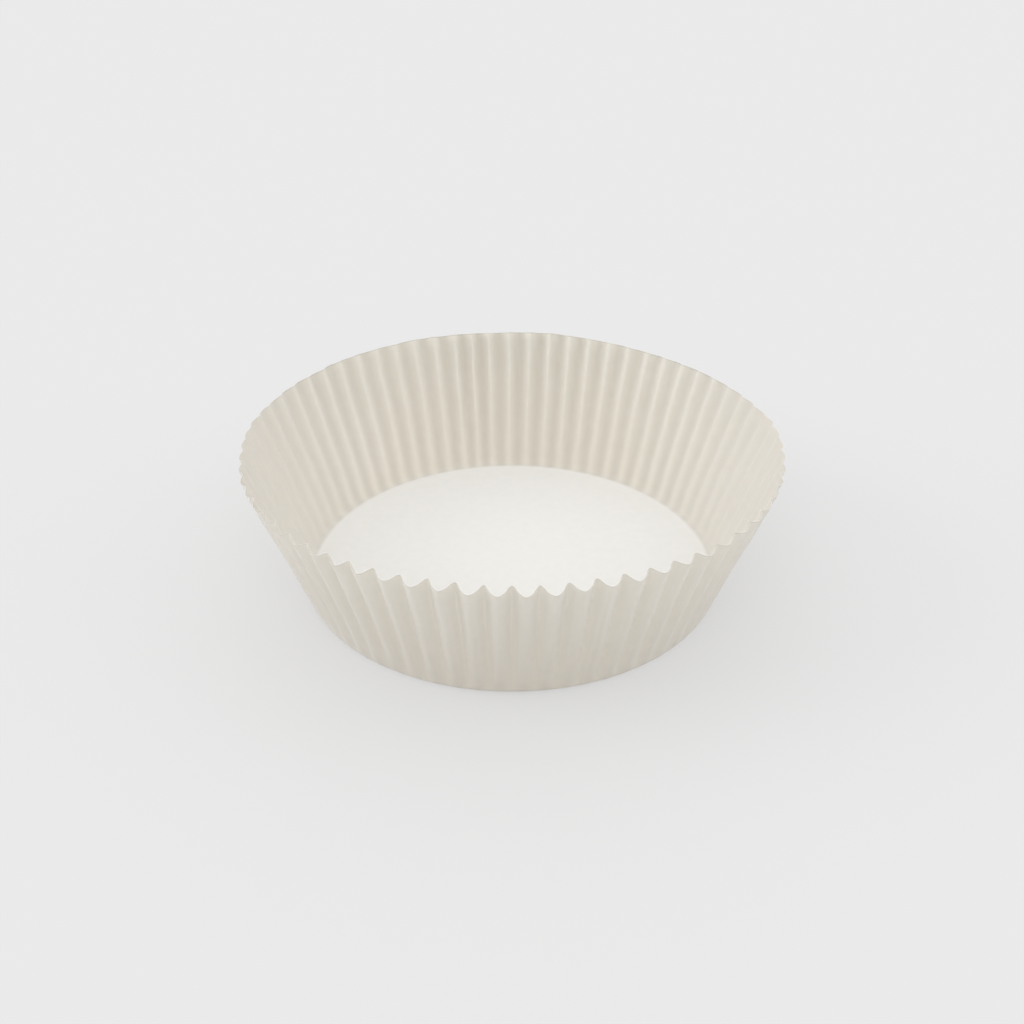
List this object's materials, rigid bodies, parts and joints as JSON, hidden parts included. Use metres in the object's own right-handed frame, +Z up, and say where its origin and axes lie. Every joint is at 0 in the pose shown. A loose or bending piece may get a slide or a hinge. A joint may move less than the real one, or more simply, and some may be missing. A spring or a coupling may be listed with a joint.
{
  "type": "cupcake liner",
  "caption": "Pleated paper baking cup with a flat round floor, a low flared wall of radial pleats and a plain cut rim.",
  "frame": {"origin": "middle of the underside of the floor, in the plane it rests on", "axes": "+Z up through the open mouth, along the cup's axis; an inward crease lies on the -Y side"},
  "size_m": [0.0876, 0.0876, 0.0245],
  "materials": {
    "paper": "matte"
  },
  "bodies": {
    "root": {"liner": "paper"}
  },
  "joints": []
}
